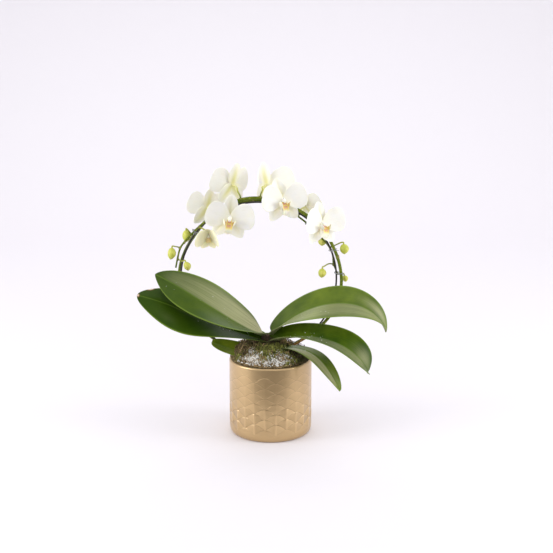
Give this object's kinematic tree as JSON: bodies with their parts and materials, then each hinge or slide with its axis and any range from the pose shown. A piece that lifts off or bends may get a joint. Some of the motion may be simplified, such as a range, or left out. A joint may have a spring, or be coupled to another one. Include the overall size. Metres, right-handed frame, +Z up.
{
  "type": "potted moth orchid",
  "caption": "Moth orchid in a round gold-glazed pot with a scale relief, its white flower spikes trained round a wire hoop.",
  "frame": {"origin": "centre of the cover pot's flat foot", "axes": "+Z up, +X to the right of the front view, +Y away from the front"},
  "size_m": [0.3853, 0.1616, 0.4249],
  "materials": {
    "gold_glaze": "satin gold glaze",
    "liner": "thin translucent plastic",
    "bark": "loose bark chips",
    "moss": "dry and green moss strands with white flakes",
    "leaf": "thick glossy leaf",
    "crown": "dry brown sheaths",
    "root": "dry tan root",
    "wire": "dark coated wire",
    "stem": "smooth green stem",
    "petal": "matte white petal",
    "lip": "waxy yellow and red lip",
    "bud": "waxy yellow-green bud",
    "tie": "clear grey plastic"
  },
  "bodies": {
    "root": {"cover_pot": "gold_glaze", "grow_pot": "liner", "potting_mix": "bark", "moss": "moss", "crown": "crown", "dry_root": "root", "hoop": "wire", "spike_right": "stem", "spike_left": "stem", "leaf_left_top": "leaf", "leaf_left_low": "leaf", "leaf_left_small": "leaf", "leaf_right_top": "leaf", "leaf_right_low": "leaf", "leaf_right_small": "leaf", "flower_1": "petal", "flower_2": "petal", "flower_3": "petal", "flower_4": "petal", "flower_5": "petal", "flower_6": "petal", "flower_7": "petal", "flower_8": "petal", "lip_1": "lip", "lip_2": "lip", "lip_3": "lip", "lip_4": "lip", "lip_5": "lip", "lip_6": "lip", "lip_7": "lip", "lip_8": "lip", "bud_1": "bud", "bud_2": "bud", "bud_3": "bud", "bud_4": "bud", "bud_5": "bud", "bud_6": "bud", "bud_7": "bud", "tie_1": "tie", "tie_2": "tie", "tie_3": "tie", "tie_4": "tie"}
  },
  "joints": []
}
